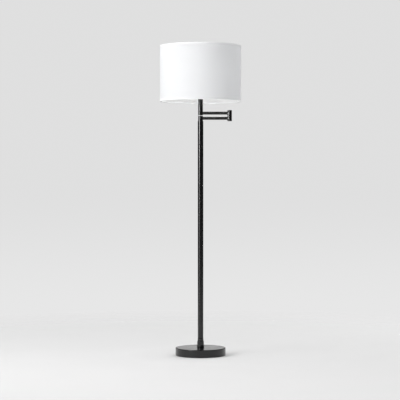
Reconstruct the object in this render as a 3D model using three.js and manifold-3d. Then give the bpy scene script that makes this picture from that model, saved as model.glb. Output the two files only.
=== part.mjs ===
// A swing-arm floor lamp with a drum shade, piece by piece, in millimetres with +Z up.
// The origin is on the floor under the pole. The two arms lie over each other and point along +X,
// so the post that carries the light stands over the pole.
import * as THREE from 'three';
import { mergeVertices } from 'three/addons/utils/BufferGeometryUtils.js';
import Module from 'manifold-3d';

const wasm = await Module();
wasm.setup();

// ---------- Driving dimensions ----------
const GAP = 0.3; // left between pieces that touch

const BASE_R = 117.5;
const BASE_H = 37;
const COVER_WALL = 1.5;
const COVER_HEM_ROUND = 1.4; // rounding where the cover's side turns in underneath
const COVER_FOOT = 0.6; // height of the cover's lower edge over the floor
const HEM_R = 113; // inner edge of the cover's turned-in hem
const PAD_H = 2.1;
const WEIGHT_H = 17;
const WEIGHT_HUB_R = 26;
const WELL_R = 22; // hollow under the weight, for the nut
const WELL_TOP = 14;
const INLET_Z = 11.5;
const INLET_R = 5.2;
const STUD_R = 6.3;
const STUD_BORE_R = 4;
const STUD_FOOT = 8.6;
const STUD_TOP = 98;

const COLLAR_TOP = 68;
const NECK_TOP = 79.6;
const NECK_R = 13.6;
const POLE_R = 13;
const POLE_BORE_R = 11.8;
const POLE_SEAMS = [361, 663.5, 1029.5];
const POLE_TOP = 1098.4;
const COUPLING_H = 36;

const ARM_R = 7;
const ARM_BORE_R = 5.8;
const LOWER_ARM_Z = 1111.75;
const UPPER_ARM_Z = 1136;
const ARM_LENGTH = 136.5; // from the pole's axis to the elbow's
const HUB_R = 11;
const HUB_BORE_R = 8.4;
const HUB_TOP = 1123;
const ELBOW_R = 10.3;
const ELBOW_BORE_R = 7.6;
const ELBOW_FOOT = 1098;
const ELBOW_TOP = 1150;
const PIVOT_R = 5;
const PIVOT_BORE_R = 3.4;
const PLATE = 1.5; // thickness of a hub's or elbow's end wall
const CAP_H = 1.3;
const SPIGOT_H = 2;

const POST_R = 11;
const POST_BORE_R = 9.6;
const POST_FOOT = 1125.4;
const POST_TOP = 1206;

const SADDLE_Z = 1211.3;
const SADDLE_T = 1.6;
const SADDLE_W = 12;
const HARP_FOOT_X = 27;
const HARP_WIRE_R = 1.8;
const HARP_TOP = 1424.1;
const SOCKET_Z = 1213.2;
const SOCKET_MOUTH = 1276;
const SHELL_R = 15.8;
const SWITCH_Z = 1240;
const STEM_R = 2;
const BULB_R = 30;
const BULB_TOP = 1361;

const SHADE_R = 190.5;
const SHADE_FOOT = 1190;
const SHADE_TOP = 1451;
const TRIM_T = 0.5;
const TRIM_H = 10;
const TRIM_INNER_H = 7;
const FABRIC_T = 0.6;
const LINER_T = 1;
const RING_WIRE_R = 1.6;
const SPIDER_DROP = 21; // from the top ring's wire down to the spokes
const SPOKES = 3;

const ROUND = 16; // sides of a round piece the width of the pole
const SMALL = 12; // sides of a small round piece
const WIDE = 36; // sides of the base and the shade

// ---------- Finishes ----------
const FINISHES = {
  blackPaint: { color: 0x161617, roughness: 0.34, metalness: 0.45 },
  zincSteel: { color: 0xa9aaa8, roughness: 0.4, metalness: 0.9 },
  castIron: { color: 0x2b2b2d, roughness: 0.8, metalness: 0.6 },
  feltPad: { color: 0x0d0d0e, roughness: 0.95, metalness: 0 },
  blackRubber: { color: 0x101011, roughness: 0.7, metalness: 0 },
  leadJacket: { color: 0x18181a, roughness: 0.55, metalness: 0 },
  phenolic: { color: 0x1b1511, roughness: 0.5, metalness: 0 },
  fibreSleeve: { color: 0x3a2f26, roughness: 0.9, metalness: 0 },
  brass: { color: 0xb08d4c, roughness: 0.35, metalness: 1 },
  nickel: { color: 0xc8c5bd, roughness: 0.28, metalness: 1 },
  opalBulb: { color: 0xf4f2ec, roughness: 0.3, metalness: 0 },
  whiteWire: { color: 0xe9e9e7, roughness: 0.45, metalness: 0.2 },
  shadeLiner: { color: 0xf3f2ee, roughness: 0.55, metalness: 0 },
  shadeFabric: { color: 0xf6f6f4, roughness: 0.92, metalness: 0 },
};

// ---------- Building blocks ----------
const lamp = new THREE.Group();

function add(group, name, finish, geometry) {
  const mesh = new THREE.Mesh(geometry, new THREE.MeshStandardMaterial(FINISHES[finish]));
  mesh.name = name;
  group.add(mesh);
  return mesh;
}

// A profile of [radius, height] points turned about Z. It runs up the outside and down the inside.
function turned(profile, sides) {
  const points = profile.map(([r, z]) => new THREE.Vector2(r, z));
  return new THREE.LatheGeometry(points, sides).rotateX(Math.PI / 2);
}

// The same for a profile that closes on itself, clear of the axis.
function turnedRing(profile, sides) {
  return turned([...profile, profile[0]], sides);
}

function tube(outer, inner, foot, top, sides = ROUND) {
  return turnedRing([[outer, foot], [outer, top], [inner, top], [inner, foot]], sides);
}

function rod(radius, foot, top, sides = ROUND) {
  return turned([[0, foot], [radius, foot], [radius, top], [0, top]], sides);
}

// Points of a quarter circle from one angle to another, in degrees, for rounding a profile's corner.
function corner(r, z, radius, from, to, steps = 3) {
  const points = [];
  for (let i = 0; i <= steps; i += 1) {
    const angle = THREE.MathUtils.degToRad(from + ((to - from) * i) / steps);
    points.push([r + radius * Math.cos(angle), z + radius * Math.sin(angle)]);
  }
  return points;
}

function block(x0, x1, y0, y1, z0, z1) {
  const box = new THREE.BoxGeometry(x1 - x0, y1 - y0, z1 - z0);
  return box.translate((x0 + x1) / 2, (y0 + y1) / 2, (z0 + z1) / 2);
}

function circleShape(radius, sides, lobe = 0) {
  const shape = new THREE.Shape();
  for (let i = 0; i < sides; i += 1) {
    const angle = (i * 2 * Math.PI) / sides;
    const r = radius - (i % 2) * lobe;
    shape[i ? 'lineTo' : 'moveTo'](r * Math.cos(angle), r * Math.sin(angle));
  }
  shape.closePath();
  return shape;
}

function hexNut(acrossCorners, bore, foot, top) {
  const shape = circleShape(acrossCorners / 2, 6);
  shape.holes.push(circleShape(bore, SMALL));
  const options = { depth: top - foot, bevelEnabled: false };
  return new THREE.ExtrudeGeometry(shape, options).translate(0, 0, foot);
}

// A route with the same number of steps between each pair of its points, so bends stay smooth.
class Route extends THREE.CatmullRomCurve3 {
  getPointAt(u, target) {
    return this.getPoint(u, target);
  }

  getTangentAt(u, target) {
    return this.getTangent(u, target);
  }
}

function wire(points, radius, stepsEach = 2, sides = 6) {
  const extrudePath = new Route(points.map((p) => new THREE.Vector3(...p)), false, 'centripetal');
  const steps = stepsEach * (points.length - 1);
  return new THREE.ExtrudeGeometry(circleShape(radius, sides), { steps, extrudePath });
}

// A geometry as a solid for cutting and joining, without the flat triangles on a turned piece's axis.
function solid(geometry) {
  const bare = geometry.clone();
  bare.deleteAttribute('normal');
  bare.deleteAttribute('uv');
  const merged = mergeVertices(bare, 1e-4);
  const corners = merged.index.array;
  const kept = [];
  for (let i = 0; i < corners.length; i += 3) {
    const [a, b, c] = corners.slice(i, i + 3);
    if (a !== b && b !== c && c !== a) kept.push(a, b, c);
  }
  const vertProperties = new Float32Array(merged.attributes.position.array);
  const triVerts = new Uint32Array(kept);
  return new wasm.Manifold(new wasm.Mesh({ numProp: 3, vertProperties, triVerts }));
}

function geometryOf(body) {
  const mesh = body.getMesh();
  const geometry = new THREE.BufferGeometry();
  geometry.setAttribute('position', new THREE.BufferAttribute(mesh.vertProperties, 3));
  geometry.setIndex(new THREE.BufferAttribute(mesh.triVerts, 1));
  return geometry;
}

function cut(geometry, ...tools) {
  return geometryOf(tools.reduce((body, tool) => body.subtract(solid(tool)), solid(geometry)));
}

function join(first, ...others) {
  return geometryOf(others.reduce((body, other) => body.add(solid(other)), solid(first)));
}

// A hole's tool along +X from the axis, and one along a Y direction.
function sideHole(radius, z, reach, sides = SMALL) {
  return rod(radius, 0, reach, sides).rotateY(Math.PI / 2).translate(0, 0, z);
}

function frontHole(radius, z, from, to, sides = SMALL) {
  return rod(radius, from, to, sides).rotateX(Math.PI / 2).translate(0, 0, z);
}

// ---------- Base ----------
function baseCover() {
  const foot = COVER_FOOT;
  const profile = [
    [HEM_R, foot],
    ...corner(BASE_R - COVER_HEM_ROUND, foot + COVER_HEM_ROUND, COVER_HEM_ROUND, -90, 0, 2),
    ...corner(BASE_R - 3, BASE_H - 3, 3, 0, 90),
    [STUD_R + GAP, BASE_H],
    [STUD_R + GAP, BASE_H - COVER_WALL],
    ...corner(BASE_R - 3, BASE_H - 3, 3 - COVER_WALL, 90, 0, 1),
    [BASE_R - COVER_WALL, foot + COVER_WALL],
    [HEM_R, foot + COVER_WALL],
  ];
  const inlet = frontHole(INLET_R + GAP, INLET_Z, -BASE_R - 5, -BASE_R + 20);
  return cut(turnedRing(profile, WIDE), inlet);
}

function baseWeight() {
  const foot = COVER_FOOT + COVER_WALL + GAP;
  const rim = BASE_R - COVER_WALL - GAP;
  const profile = [
    [WELL_R, foot],
    [rim, foot],
    [rim, foot + WEIGHT_H],
    [WEIGHT_HUB_R, foot + WEIGHT_H],
    [WEIGHT_HUB_R, BASE_H - COVER_WALL - GAP],
    [STUD_R + GAP, BASE_H - COVER_WALL - GAP],
    [STUD_R + GAP, WELL_TOP],
    [WELL_R, WELL_TOP],
  ];
  const leadChannel = block(-7, 7, WELL_R - 4, BASE_R, 0, INLET_Z + 7);
  return cut(turnedRing(profile, WIDE), leadChannel);
}

function basePad() {
  return tube(HEM_R - GAP, WELL_R, 0, PAD_H, WIDE);
}

// The bushing's flange sits outside the cover's wall, and its inner lip behind it.
function cordBushing() {
  const wallOut = BASE_R + GAP;
  const wallIn = BASE_R - COVER_WALL - GAP;
  const profile = [
    [INLET_R + 1.6, wallIn - 2],
    [INLET_R, wallIn - 0.6],
    [INLET_R, wallOut + 0.2],
    [INLET_R + 2, wallOut + 0.2],
    [INLET_R + 1.4, wallOut + 2.4],
    [3.1, wallOut + 2.4],
    [3.1, wallIn - 2],
  ];
  return turnedRing(profile, SMALL).rotateX(-Math.PI / 2);
}

function baseCollar() {
  const foot = BASE_H + GAP;
  const bore = STUD_R + GAP;
  return turnedRing([
    [16.5, foot],
    [16.5, foot + 7.8],
    [15.9, foot + 10.4],
    [15.7, foot + 22],
    ...corner(13.5, COLLAR_TOP - 2, 2, 0, 90),
    [bore, COLLAR_TOP],
    [bore, foot],
  ], ROUND);
}

// A neck ring shows between the collar and the pole, and its spigot screws into the pole.
function poleNeck() {
  const foot = COLLAR_TOP + GAP;
  const spigot = POLE_BORE_R - GAP;
  return turnedRing([
    ...corner(NECK_R - 1, foot + 1, 1, -90, 0, 1),
    ...corner(NECK_R - 1, NECK_TOP - 1, 1, 0, 90, 1),
    [spigot, NECK_TOP],
    [spigot, STUD_TOP + 4],
    [STUD_R + GAP, STUD_TOP + 4],
    [STUD_R + GAP, foot],
  ], ROUND);
}

const base = new THREE.Group();
const washerTop = WELL_TOP - GAP;
const baseNutTop = washerTop - 1.3 - GAP;
add(base, 'base_cover', 'blackPaint', baseCover());
add(base, 'base_weight', 'castIron', baseWeight());
add(base, 'base_pad', 'feltPad', basePad());
add(base, 'cord_bushing', 'blackRubber', cordBushing()).position.z = INLET_Z;
add(base, 'base_stud', 'zincSteel', tube(STUD_R, STUD_BORE_R, STUD_FOOT, STUD_TOP, SMALL));
add(base, 'base_washer', 'zincSteel', tube(16, STUD_R + GAP, washerTop - 1.3, washerTop));
add(base, 'base_nut', 'zincSteel', hexNut(24, STUD_R + GAP, baseNutTop - 3.6, baseNutTop));
add(base, 'base_collar', 'blackPaint', baseCollar());
add(base, 'pole_neck', 'blackPaint', poleNeck());
lamp.add(base);

// ---------- Pole ----------
const pole = new THREE.Group();
const poleNames = ['pole_section_1', 'pole_section_2', 'pole_section_3', 'pole_top_section'];
const poleEnds = [NECK_TOP, ...POLE_SEAMS, POLE_TOP];
poleNames.forEach((name, i) => {
  const foot = poleEnds[i] + GAP / 2;
  const top = poleEnds[i + 1] - (i < POLE_SEAMS.length ? GAP / 2 : 0);
  add(pole, name, 'blackPaint', tube(POLE_R, POLE_BORE_R, foot, top));
});
POLE_SEAMS.forEach((seam, i) => {
  const coupling = tube(POLE_BORE_R - GAP, 6, -COUPLING_H / 2, COUPLING_H / 2, SMALL);
  add(pole, `pole_coupling_${i + 1}`, 'zincSteel', coupling).position.z = seam;
});

const pivotTop = POLE_TOP + 7.6;
const hubFoot = POLE_TOP + GAP;
const hubFloor = hubFoot + PLATE;
const hubNutFoot = hubFloor + 2 * GAP + 0.7;
const plug = tube(POLE_BORE_R - GAP, PIVOT_R + GAP, POLE_TOP - 16, POLE_TOP);
const hubWasher = tube(7.5, PIVOT_R + GAP, hubFloor + GAP, hubFloor + GAP + 0.7, SMALL);
add(pole, 'pole_top_plug', 'zincSteel', plug);
add(pole, 'pole_pivot', 'zincSteel', tube(PIVOT_R, PIVOT_BORE_R, POLE_TOP - 14, pivotTop, SMALL));
add(pole, 'pole_pivot_washer', 'zincSteel', hubWasher);
add(pole, 'pole_pivot_nut', 'zincSteel', hexNut(14.6, PIVOT_R + GAP, hubNutFoot, hubNutFoot + 3));

// The lead comes in behind, runs in the weight's channel and climbs inside the pole.
const poleLead = wire([
  [0, BASE_R - 6, INLET_Z],
  [0, 90, INLET_Z],
  [0, 40, 8],
  [0, 18, 5.4],
  [0, 7, 5.2],
  [0, 1.6, 8],
  [0, 0, 14],
  [0, 0, 60],
  [0, 0, POLE_TOP - 1],
], 2.2);
add(pole, 'pole_lead', 'leadJacket', poleLead);
lamp.add(pole);

// ---------- Lower arm ----------
// An arm tube along +X, from inside one upright piece to inside the next.
function armTube(group, name, z, from, to) {
  const mesh = add(group, name, 'blackPaint', tube(ARM_R, ARM_BORE_R, from, to, SMALL));
  mesh.rotation.y = Math.PI / 2;
  mesh.position.z = z;
}

// A cap closes a cup's mouth, with a spigot inside it. Turned over, it closes one from below.
function endCap(outer, bore) {
  return turned([
    [0, -SPIGOT_H],
    [bore - GAP, -SPIGOT_H],
    [bore - GAP, 0],
    [outer, 0],
    ...corner(outer - 0.5, CAP_H - 0.5, 0.5, 0, 90, 1),
    [0, CAP_H],
  ], ROUND);
}

// A cup with a pivot hole in its floor and an arm's hole in its side, which faces +X.
function armCup(outer, bore, foot, top, armZ) {
  const pivotHole = PIVOT_R + GAP;
  const profile = [
    [pivotHole, foot],
    [outer, foot],
    [outer, top],
    [bore, top],
    [bore, foot + PLATE],
    [pivotHole, foot + PLATE],
  ];
  return cut(turnedRing(profile, ROUND), sideHole(ARM_R + GAP, armZ, outer + 5));
}

const lowerArm = new THREE.Group();
const hubMouth = HUB_TOP - CAP_H - GAP;
const armFrom = HUB_BORE_R - 0.8; // just inside the hub's bore, and clear of the nut
const armTo = ARM_LENGTH - ELBOW_BORE_R + 0.6;
add(lowerArm, 'lower_hub', 'blackPaint', armCup(HUB_R, HUB_BORE_R, hubFoot, hubMouth, LOWER_ARM_Z));
add(lowerArm, 'lower_hub_cap', 'blackPaint', endCap(HUB_R, HUB_BORE_R)).position.z = hubMouth + GAP;
armTube(lowerArm, 'lower_arm_tube', LOWER_ARM_Z, armFrom, armTo);

// The elbow's lower half is a cup upside down, so it is made about its own seam and turned over.
const seamZ = (ELBOW_FOOT + ELBOW_TOP) / 2;
const halfFoot = GAP / 2;
const halfMouth = seamZ - ELBOW_FOOT - CAP_H - GAP;
const elbowLowerGeometry = armCup(ELBOW_R, ELBOW_BORE_R, halfFoot, halfMouth, seamZ - LOWER_ARM_Z);
const elbowUpperGeometry = armCup(ELBOW_R, ELBOW_BORE_R, halfFoot, halfMouth, UPPER_ARM_Z - seamZ);
const elbowLower = new THREE.Group();
elbowLower.position.set(ARM_LENGTH, 0, seamZ);
elbowLower.rotation.y = Math.PI;
add(elbowLower, 'elbow_lower', 'blackPaint', elbowLowerGeometry);
add(elbowLower, 'elbow_bottom_cap', 'blackPaint', endCap(ELBOW_R, ELBOW_BORE_R)).position.z =
  halfMouth + GAP;
lowerArm.add(elbowLower);

// The elbow's hollow pivot hangs by its head in the lower half and turns in the upper half's floor.
const elbowHead = -GAP / 2 - PLATE - GAP;
const elbowFloor = GAP / 2 + PLATE;
const elbowPivotGeometry = turnedRing([
  [6.6, elbowHead - 3],
  [6.6, elbowHead],
  [PIVOT_R, elbowHead],
  [PIVOT_R, elbowFloor + 3.9],
  [PIVOT_BORE_R, elbowFloor + 3.9],
  [PIVOT_BORE_R, elbowHead - 3],
], SMALL);
const elbowWasher = tube(6.9, PIVOT_R + GAP, elbowFloor + GAP, elbowFloor + GAP + 0.6, SMALL);
const elbowNutFoot = elbowFloor + 0.6 + 2 * GAP;
const elbowPivot = new THREE.Group();
elbowPivot.position.set(ARM_LENGTH, 0, seamZ);
add(elbowPivot, 'elbow_pivot', 'zincSteel', elbowPivotGeometry);
add(elbowPivot, 'elbow_washer', 'zincSteel', elbowWasher);
add(elbowPivot, 'elbow_nut', 'zincSteel', hexNut(13.4, PIVOT_R + GAP, elbowNutFoot, elbowNutFoot + 2.5));
lowerArm.add(elbowPivot);

const lowerLead = wire([
  [0, 0, POLE_TOP],
  [0, 0, LOWER_ARM_Z - 6.5],
  [0.6, 0, LOWER_ARM_Z - 3.2],
  [3, 0, LOWER_ARM_Z - 0.6],
  [7, 0, LOWER_ARM_Z],
  [ARM_LENGTH - 7, 0, LOWER_ARM_Z],
  [ARM_LENGTH - 3, 0, LOWER_ARM_Z + 0.6],
  [ARM_LENGTH - 0.6, 0, LOWER_ARM_Z + 3.2],
  [ARM_LENGTH, 0, LOWER_ARM_Z + 6.5],
  [ARM_LENGTH, 0, seamZ - 1],
], 1.8);
add(lowerArm, 'lower_arm_lead', 'leadJacket', lowerLead);
lamp.add(lowerArm);

// ---------- Upper arm and post ----------
const upperArm = new THREE.Group();
const elbowUpper = new THREE.Group();
elbowUpper.position.set(ARM_LENGTH, 0, seamZ);
elbowUpper.rotation.z = Math.PI;
add(elbowUpper, 'elbow_upper', 'blackPaint', elbowUpperGeometry);
add(elbowUpper, 'elbow_top_cap', 'blackPaint', endCap(ELBOW_R, ELBOW_BORE_R)).position.z =
  halfMouth + GAP;
upperArm.add(elbowUpper);
armTube(upperArm, 'upper_arm_tube', UPPER_ARM_Z, armFrom, armTo);

const postFoot = POST_FOOT + CAP_H + GAP;
const postTube = tube(POST_R, POST_BORE_R, postFoot, POST_TOP);
const postBottomCap = endCap(POST_R, POST_BORE_R);
const bottomCap = add(upperArm, 'post_bottom_cap', 'blackPaint', postBottomCap);
bottomCap.rotation.x = Math.PI;
bottomCap.position.z = postFoot - GAP;
add(upperArm, 'post', 'blackPaint', cut(postTube, sideHole(ARM_R + GAP, UPPER_ARM_Z, POST_R + 5)));

const postTopCap = turnedRing([
  [POST_BORE_R - GAP, POST_TOP - 4],
  [POST_BORE_R - GAP, POST_TOP + GAP],
  [POST_R, POST_TOP + GAP],
  [POST_R, POST_TOP + 2],
  [POST_R - 2, SADDLE_Z - GAP],
  [PIVOT_R + GAP, SADDLE_Z - GAP],
  [PIVOT_R + GAP, POST_TOP - 4],
], ROUND);
add(upperArm, 'post_top_cap', 'blackPaint', postTopCap);
add(upperArm, 'socket_nipple', 'zincSteel', tube(PIVOT_R, 3, POST_TOP - 8, SOCKET_Z + 4.8, SMALL));

const upperLead = wire([
  [ARM_LENGTH, 0, seamZ + 0.5],
  [ARM_LENGTH, 0, UPPER_ARM_Z - 6.5],
  [ARM_LENGTH - 0.6, 0, UPPER_ARM_Z - 3.2],
  [ARM_LENGTH - 3, 0, UPPER_ARM_Z - 0.6],
  [ARM_LENGTH - 7, 0, UPPER_ARM_Z],
  [8, 0, UPPER_ARM_Z],
  [4, 0, UPPER_ARM_Z + 0.7],
  [1, 0, UPPER_ARM_Z + 4],
  [0, 0, UPPER_ARM_Z + 10],
  [0, 0, SOCKET_Z + 14],
], 1.8);
add(upperArm, 'upper_arm_lead', 'leadJacket', upperLead);

// ---------- Harp ----------
// A flat strip with turned-up sides, each ending in a narrow tongue for the harp's sleeve.
function harpSaddle() {
  const half = HARP_FOOT_X + SADDLE_T / 2;
  const strip = block(-half, half, -SADDLE_W / 2, SADDLE_W / 2, SADDLE_Z, SADDLE_Z + SADDLE_T);
  const sides = [-1, 1].flatMap((side) => {
    const x = side * HARP_FOOT_X;
    const from = x - SADDLE_T / 2;
    const to = x + SADDLE_T / 2;
    return [
      block(from, to, -SADDLE_W / 2, SADDLE_W / 2, SADDLE_Z, SADDLE_Z + 10),
      block(from, to, -2.2, 2.2, SADDLE_Z + 9, SADDLE_Z + 20),
    ];
  });
  const nippleHole = rod(PIVOT_R + GAP, SADDLE_Z - 2, SADDLE_Z + 3, SMALL);
  return cut(join(strip, ...sides), nippleHole);
}

// One side of the harp's wire, from its sleeve round the bulb to the middle of the top.
function harpSide(side) {
  const top = HARP_TOP - HARP_WIRE_R;
  const half = [
    [HARP_FOOT_X, SADDLE_Z + 20.6],
    [HARP_FOOT_X, SADDLE_Z + 34],
    [37, SADDLE_Z + 52],
    [50, SADDLE_Z + 76],
    [56.5, SADDLE_Z + 106],
    [56, SADDLE_Z + 136],
    [48, SADDLE_Z + 166],
    [34, SADDLE_Z + 190],
    [20, top - 6],
    [11, top - 0.5],
    [5.5, top],
  ];
  return wire(half.map(([x, z]) => [side * x, 0, z]), HARP_WIRE_R);
}

const harpBoss = tube(7.5, 3.4, HARP_TOP - 2 * HARP_WIRE_R, HARP_TOP, SMALL);
add(upperArm, 'harp_saddle', 'nickel', harpSaddle());
add(upperArm, 'harp', 'nickel', join(harpBoss, harpSide(-1), harpSide(1)));
for (const [name, side] of [['harp_sleeve_left', -1], ['harp_sleeve_right', 1]]) {
  const sleeve = tube(4.1, 2.7, SADDLE_Z + 10.4, SADDLE_Z + 26, SMALL);
  add(upperArm, name, 'nickel', sleeve).position.x = side * HARP_FOOT_X;
}

// ---------- Socket and bulb ----------
function socketCap() {
  return turnedRing([
    [8.5, SOCKET_Z],
    [8.5, SOCKET_Z + 4],
    [12.5, SOCKET_Z + 6.5],
    [16.6, SOCKET_Z + 12],
    [17, SOCKET_Z + 18],
    [SHELL_R + GAP, SOCKET_Z + 18],
    [SHELL_R + GAP, SOCKET_Z + 14.2],
    [15, SOCKET_Z + 12.8],
    [11.8, SOCKET_Z + 7.8],
    [8, SOCKET_Z + 5.4],
    [PIVOT_R + GAP, SOCKET_Z + 5.4],
    [PIVOT_R + GAP, SOCKET_Z],
  ], ROUND);
}

// The outer shell has a rolled bead near its mouth and a hole for the switch's shaft.
function socketShell() {
  const foot = SOCKET_Z + 14.6;
  const profile = [
    [SHELL_R, foot],
    [SHELL_R, SOCKET_MOUTH - 10],
    [SHELL_R + 0.7, SOCKET_MOUTH - 8],
    [SHELL_R + 0.7, SOCKET_MOUTH - 6],
    [SHELL_R, SOCKET_MOUTH - 4],
    [SHELL_R, SOCKET_MOUTH],
    [SHELL_R - 0.7, SOCKET_MOUTH],
    [SHELL_R - 0.7, foot],
  ];
  return cut(turnedRing(profile, ROUND), frontHole(4, SWITCH_Z, 5, 25));
}

function socketSleeve() {
  const ring = tube(14.8, 14.35, SWITCH_Z - 8, SOCKET_MOUTH - 1.5);
  return cut(ring, frontHole(4, SWITCH_Z, 5, 25));
}

const bodyTop = SWITCH_Z + 7;
const socketBody = cut(rod(14, SWITCH_Z - 7, bodyTop), frontHole(STEM_R + GAP, SWITCH_Z, 5, 25));
const screwShell = tube(14, 13.5, bodyTop + GAP, SOCKET_MOUTH - 3);
add(upperArm, 'socket_cap', 'blackPaint', socketCap());
add(upperArm, 'socket_shell', 'blackPaint', socketShell());
add(upperArm, 'socket_sleeve', 'fibreSleeve', socketSleeve());
add(upperArm, 'socket_body', 'phenolic', socketBody);
add(upperArm, 'socket_screw_shell', 'brass', screwShell);

const bulbFoot = bodyTop + 2;
const bulbCap = turned([
  [0, bulbFoot],
  [4.5, bulbFoot],
  [8, bulbFoot + 2],
  [12.9, bulbFoot + 5],
  [12.9, SOCKET_MOUTH - 1],
  [0, SOCKET_MOUTH - 1],
], ROUND);
const bulbGlobe = turned([
  [0, SOCKET_MOUTH - 1 + GAP],
  [13.2, SOCKET_MOUTH - 1 + GAP],
  [15.5, SOCKET_MOUTH + 7],
  [21, SOCKET_MOUTH + 18],
  [26.8, SOCKET_MOUTH + 32],
  ...corner(0, BULB_TOP - BULB_R, BULB_R, -10, 90, 6),
], ROUND);
add(upperArm, 'bulb_cap', 'nickel', bulbCap);
add(upperArm, 'bulb_globe', 'opalBulb', bulbGlobe);
lamp.add(upperArm);

// ---------- Switch ----------
// The shaft and knob are made along +Z, with the knob's outer end up, and turned to face -Y.
const knobFoot = SHELL_R + 2.4;
const knobLength = 13;
const knobShape = circleShape(6.6, 20, 0.8);
const knobBody = new THREE.ExtrudeGeometry(knobShape, {
  depth: knobLength - 1,
  bevelEnabled: true,
  bevelSize: 0.6,
  bevelThickness: 0.5,
  bevelOffset: -0.6,
  bevelSegments: 1,
}).translate(0, 0, knobFoot + 0.5);
const switchParts = new THREE.Group();
switchParts.position.z = SWITCH_Z;
switchParts.rotation.x = Math.PI / 2;
add(switchParts, 'switch_stem', 'brass', rod(STEM_R, 6, knobFoot + 8, SMALL));
add(switchParts, 'switch_knob', 'blackRubber', cut(knobBody, rod(STEM_R + GAP, 0, knobFoot + 8.5, SMALL)));
lamp.add(switchParts);

// ---------- Shade ----------
const fabricR = SHADE_R - TRIM_T - GAP;
const linerR = fabricR - FABRIC_T - GAP;
const ringR = linerR - LINER_T - GAP - RING_WIRE_R;
const trimInnerR = ringR - RING_WIRE_R - GAP - TRIM_T;
const clothFoot = SHADE_FOOT + TRIM_T + GAP;
const clothTop = SHADE_TOP - TRIM_T - GAP;
const topRingZ = clothTop - RING_WIRE_R;
const bottomRingZ = clothFoot + RING_WIRE_R;

// A tape folded over the shade's edge and its wire ring, open downwards.
function trim() {
  return turnedRing([
    [SHADE_R, -TRIM_H],
    [SHADE_R, 0],
    [trimInnerR, 0],
    [trimInnerR, -TRIM_INNER_H],
    [trimInnerR + TRIM_T, -TRIM_INNER_H],
    [trimInnerR + TRIM_T, -TRIM_T],
    [SHADE_R - TRIM_T, -TRIM_T],
    [SHADE_R - TRIM_T, -TRIM_H],
  ], WIDE);
}

function wireRing() {
  return turned(corner(ringR, 0, RING_WIRE_R, 0, 360, 6), WIDE);
}

// A centre washer with spokes that run out level and turn up to the top ring.
function spider() {
  const level = topRingZ - SPIDER_DROP;
  const bend = 12;
  const spoke = wire([
    [10, 0, level],
    [90, 0, level],
    [ringR - bend, 0, level],
    [ringR - bend * 0.29, 0, level + bend * 0.29],
    [ringR, 0, level + bend],
    [ringR, 0, topRingZ - RING_WIRE_R - GAP],
  ], RING_WIRE_R);
  const spokes = Array.from({ length: SPOKES }, (_, i) => {
    const angle = Math.PI / 2 + (i * 2 * Math.PI) / SPOKES;
    return spoke.clone().rotateZ(angle);
  });
  return join(tube(12.5, 3.4, level - 1, level + 1), ...spokes);
}

const spiderZ = topRingZ - SPIDER_DROP;
const stud = turned([
  [0, HARP_TOP - 6.9],
  [5, HARP_TOP - 6.9],
  [5, HARP_TOP - 2 * HARP_WIRE_R - GAP],
  [3.1, HARP_TOP - 2 * HARP_WIRE_R - GAP],
  [3.1, HARP_TOP + GAP],
  [7, HARP_TOP + GAP],
  [7, spiderZ - 1 - GAP],
  [3.1, spiderZ - 1 - GAP],
  [3.1, spiderZ + 12],
  [0, spiderZ + 12],
], SMALL);
const finial = turned([
  [0, 11.4],
  [3.4, 11.4],
  [3.4, 0],
  [6, 0],
  [6.6, 1],
  [6.6, 2.4],
  [4.6, 4.2],
  [5.4, 6.4],
  ...corner(0, 10.5, 6.4, -20, 90, 5),
], SMALL);

const shade = new THREE.Group();
add(shade, 'harp_stud', 'nickel', stud);
add(shade, 'shade_spider', 'whiteWire', spider());
add(shade, 'shade_top_ring', 'whiteWire', wireRing()).position.z = topRingZ;
add(shade, 'shade_bottom_ring', 'whiteWire', wireRing()).position.z = bottomRingZ;
add(shade, 'shade_liner', 'shadeLiner', tube(linerR, linerR - LINER_T, clothFoot, clothTop, WIDE));
add(shade, 'shade_fabric', 'shadeFabric', tube(fabricR, fabricR - FABRIC_T, clothFoot, clothTop, WIDE));
add(shade, 'shade_top_trim', 'shadeFabric', trim()).position.z = SHADE_TOP;
const bottomTrim = add(shade, 'shade_bottom_trim', 'shadeFabric', trim());
bottomTrim.rotation.x = Math.PI;
bottomTrim.position.z = SHADE_FOOT;
add(shade, 'finial', 'blackPaint', finial).position.z = spiderZ + 1 + GAP;
lamp.add(shade);

export default lamp;
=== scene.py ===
import math

import bmesh
import bpy
from mathutils import Matrix, Vector


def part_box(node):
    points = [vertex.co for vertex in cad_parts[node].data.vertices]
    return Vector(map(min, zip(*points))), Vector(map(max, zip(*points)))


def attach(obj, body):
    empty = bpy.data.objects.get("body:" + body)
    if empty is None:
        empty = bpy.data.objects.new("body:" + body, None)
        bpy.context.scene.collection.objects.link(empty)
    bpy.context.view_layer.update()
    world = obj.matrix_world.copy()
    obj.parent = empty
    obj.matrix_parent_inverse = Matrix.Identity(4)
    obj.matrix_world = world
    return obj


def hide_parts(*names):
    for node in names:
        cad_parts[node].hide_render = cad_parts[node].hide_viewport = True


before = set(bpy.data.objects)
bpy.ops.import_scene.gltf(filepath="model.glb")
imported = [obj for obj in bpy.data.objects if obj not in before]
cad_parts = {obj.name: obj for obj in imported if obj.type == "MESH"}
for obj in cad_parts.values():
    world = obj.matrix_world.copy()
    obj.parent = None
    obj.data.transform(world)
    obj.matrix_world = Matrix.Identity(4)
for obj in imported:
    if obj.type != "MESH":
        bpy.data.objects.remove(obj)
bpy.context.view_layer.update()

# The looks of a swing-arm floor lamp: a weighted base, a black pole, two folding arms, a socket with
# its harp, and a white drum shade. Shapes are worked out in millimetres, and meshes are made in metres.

MM = 0.001

# ---------- Camera ----------
CAMERA_AT = Vector((-0.0026, -6.56, 0.789))
CAMERA_AIM = Vector((-0.0026, 0, 0.7288))
LENS = 125.86

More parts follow.
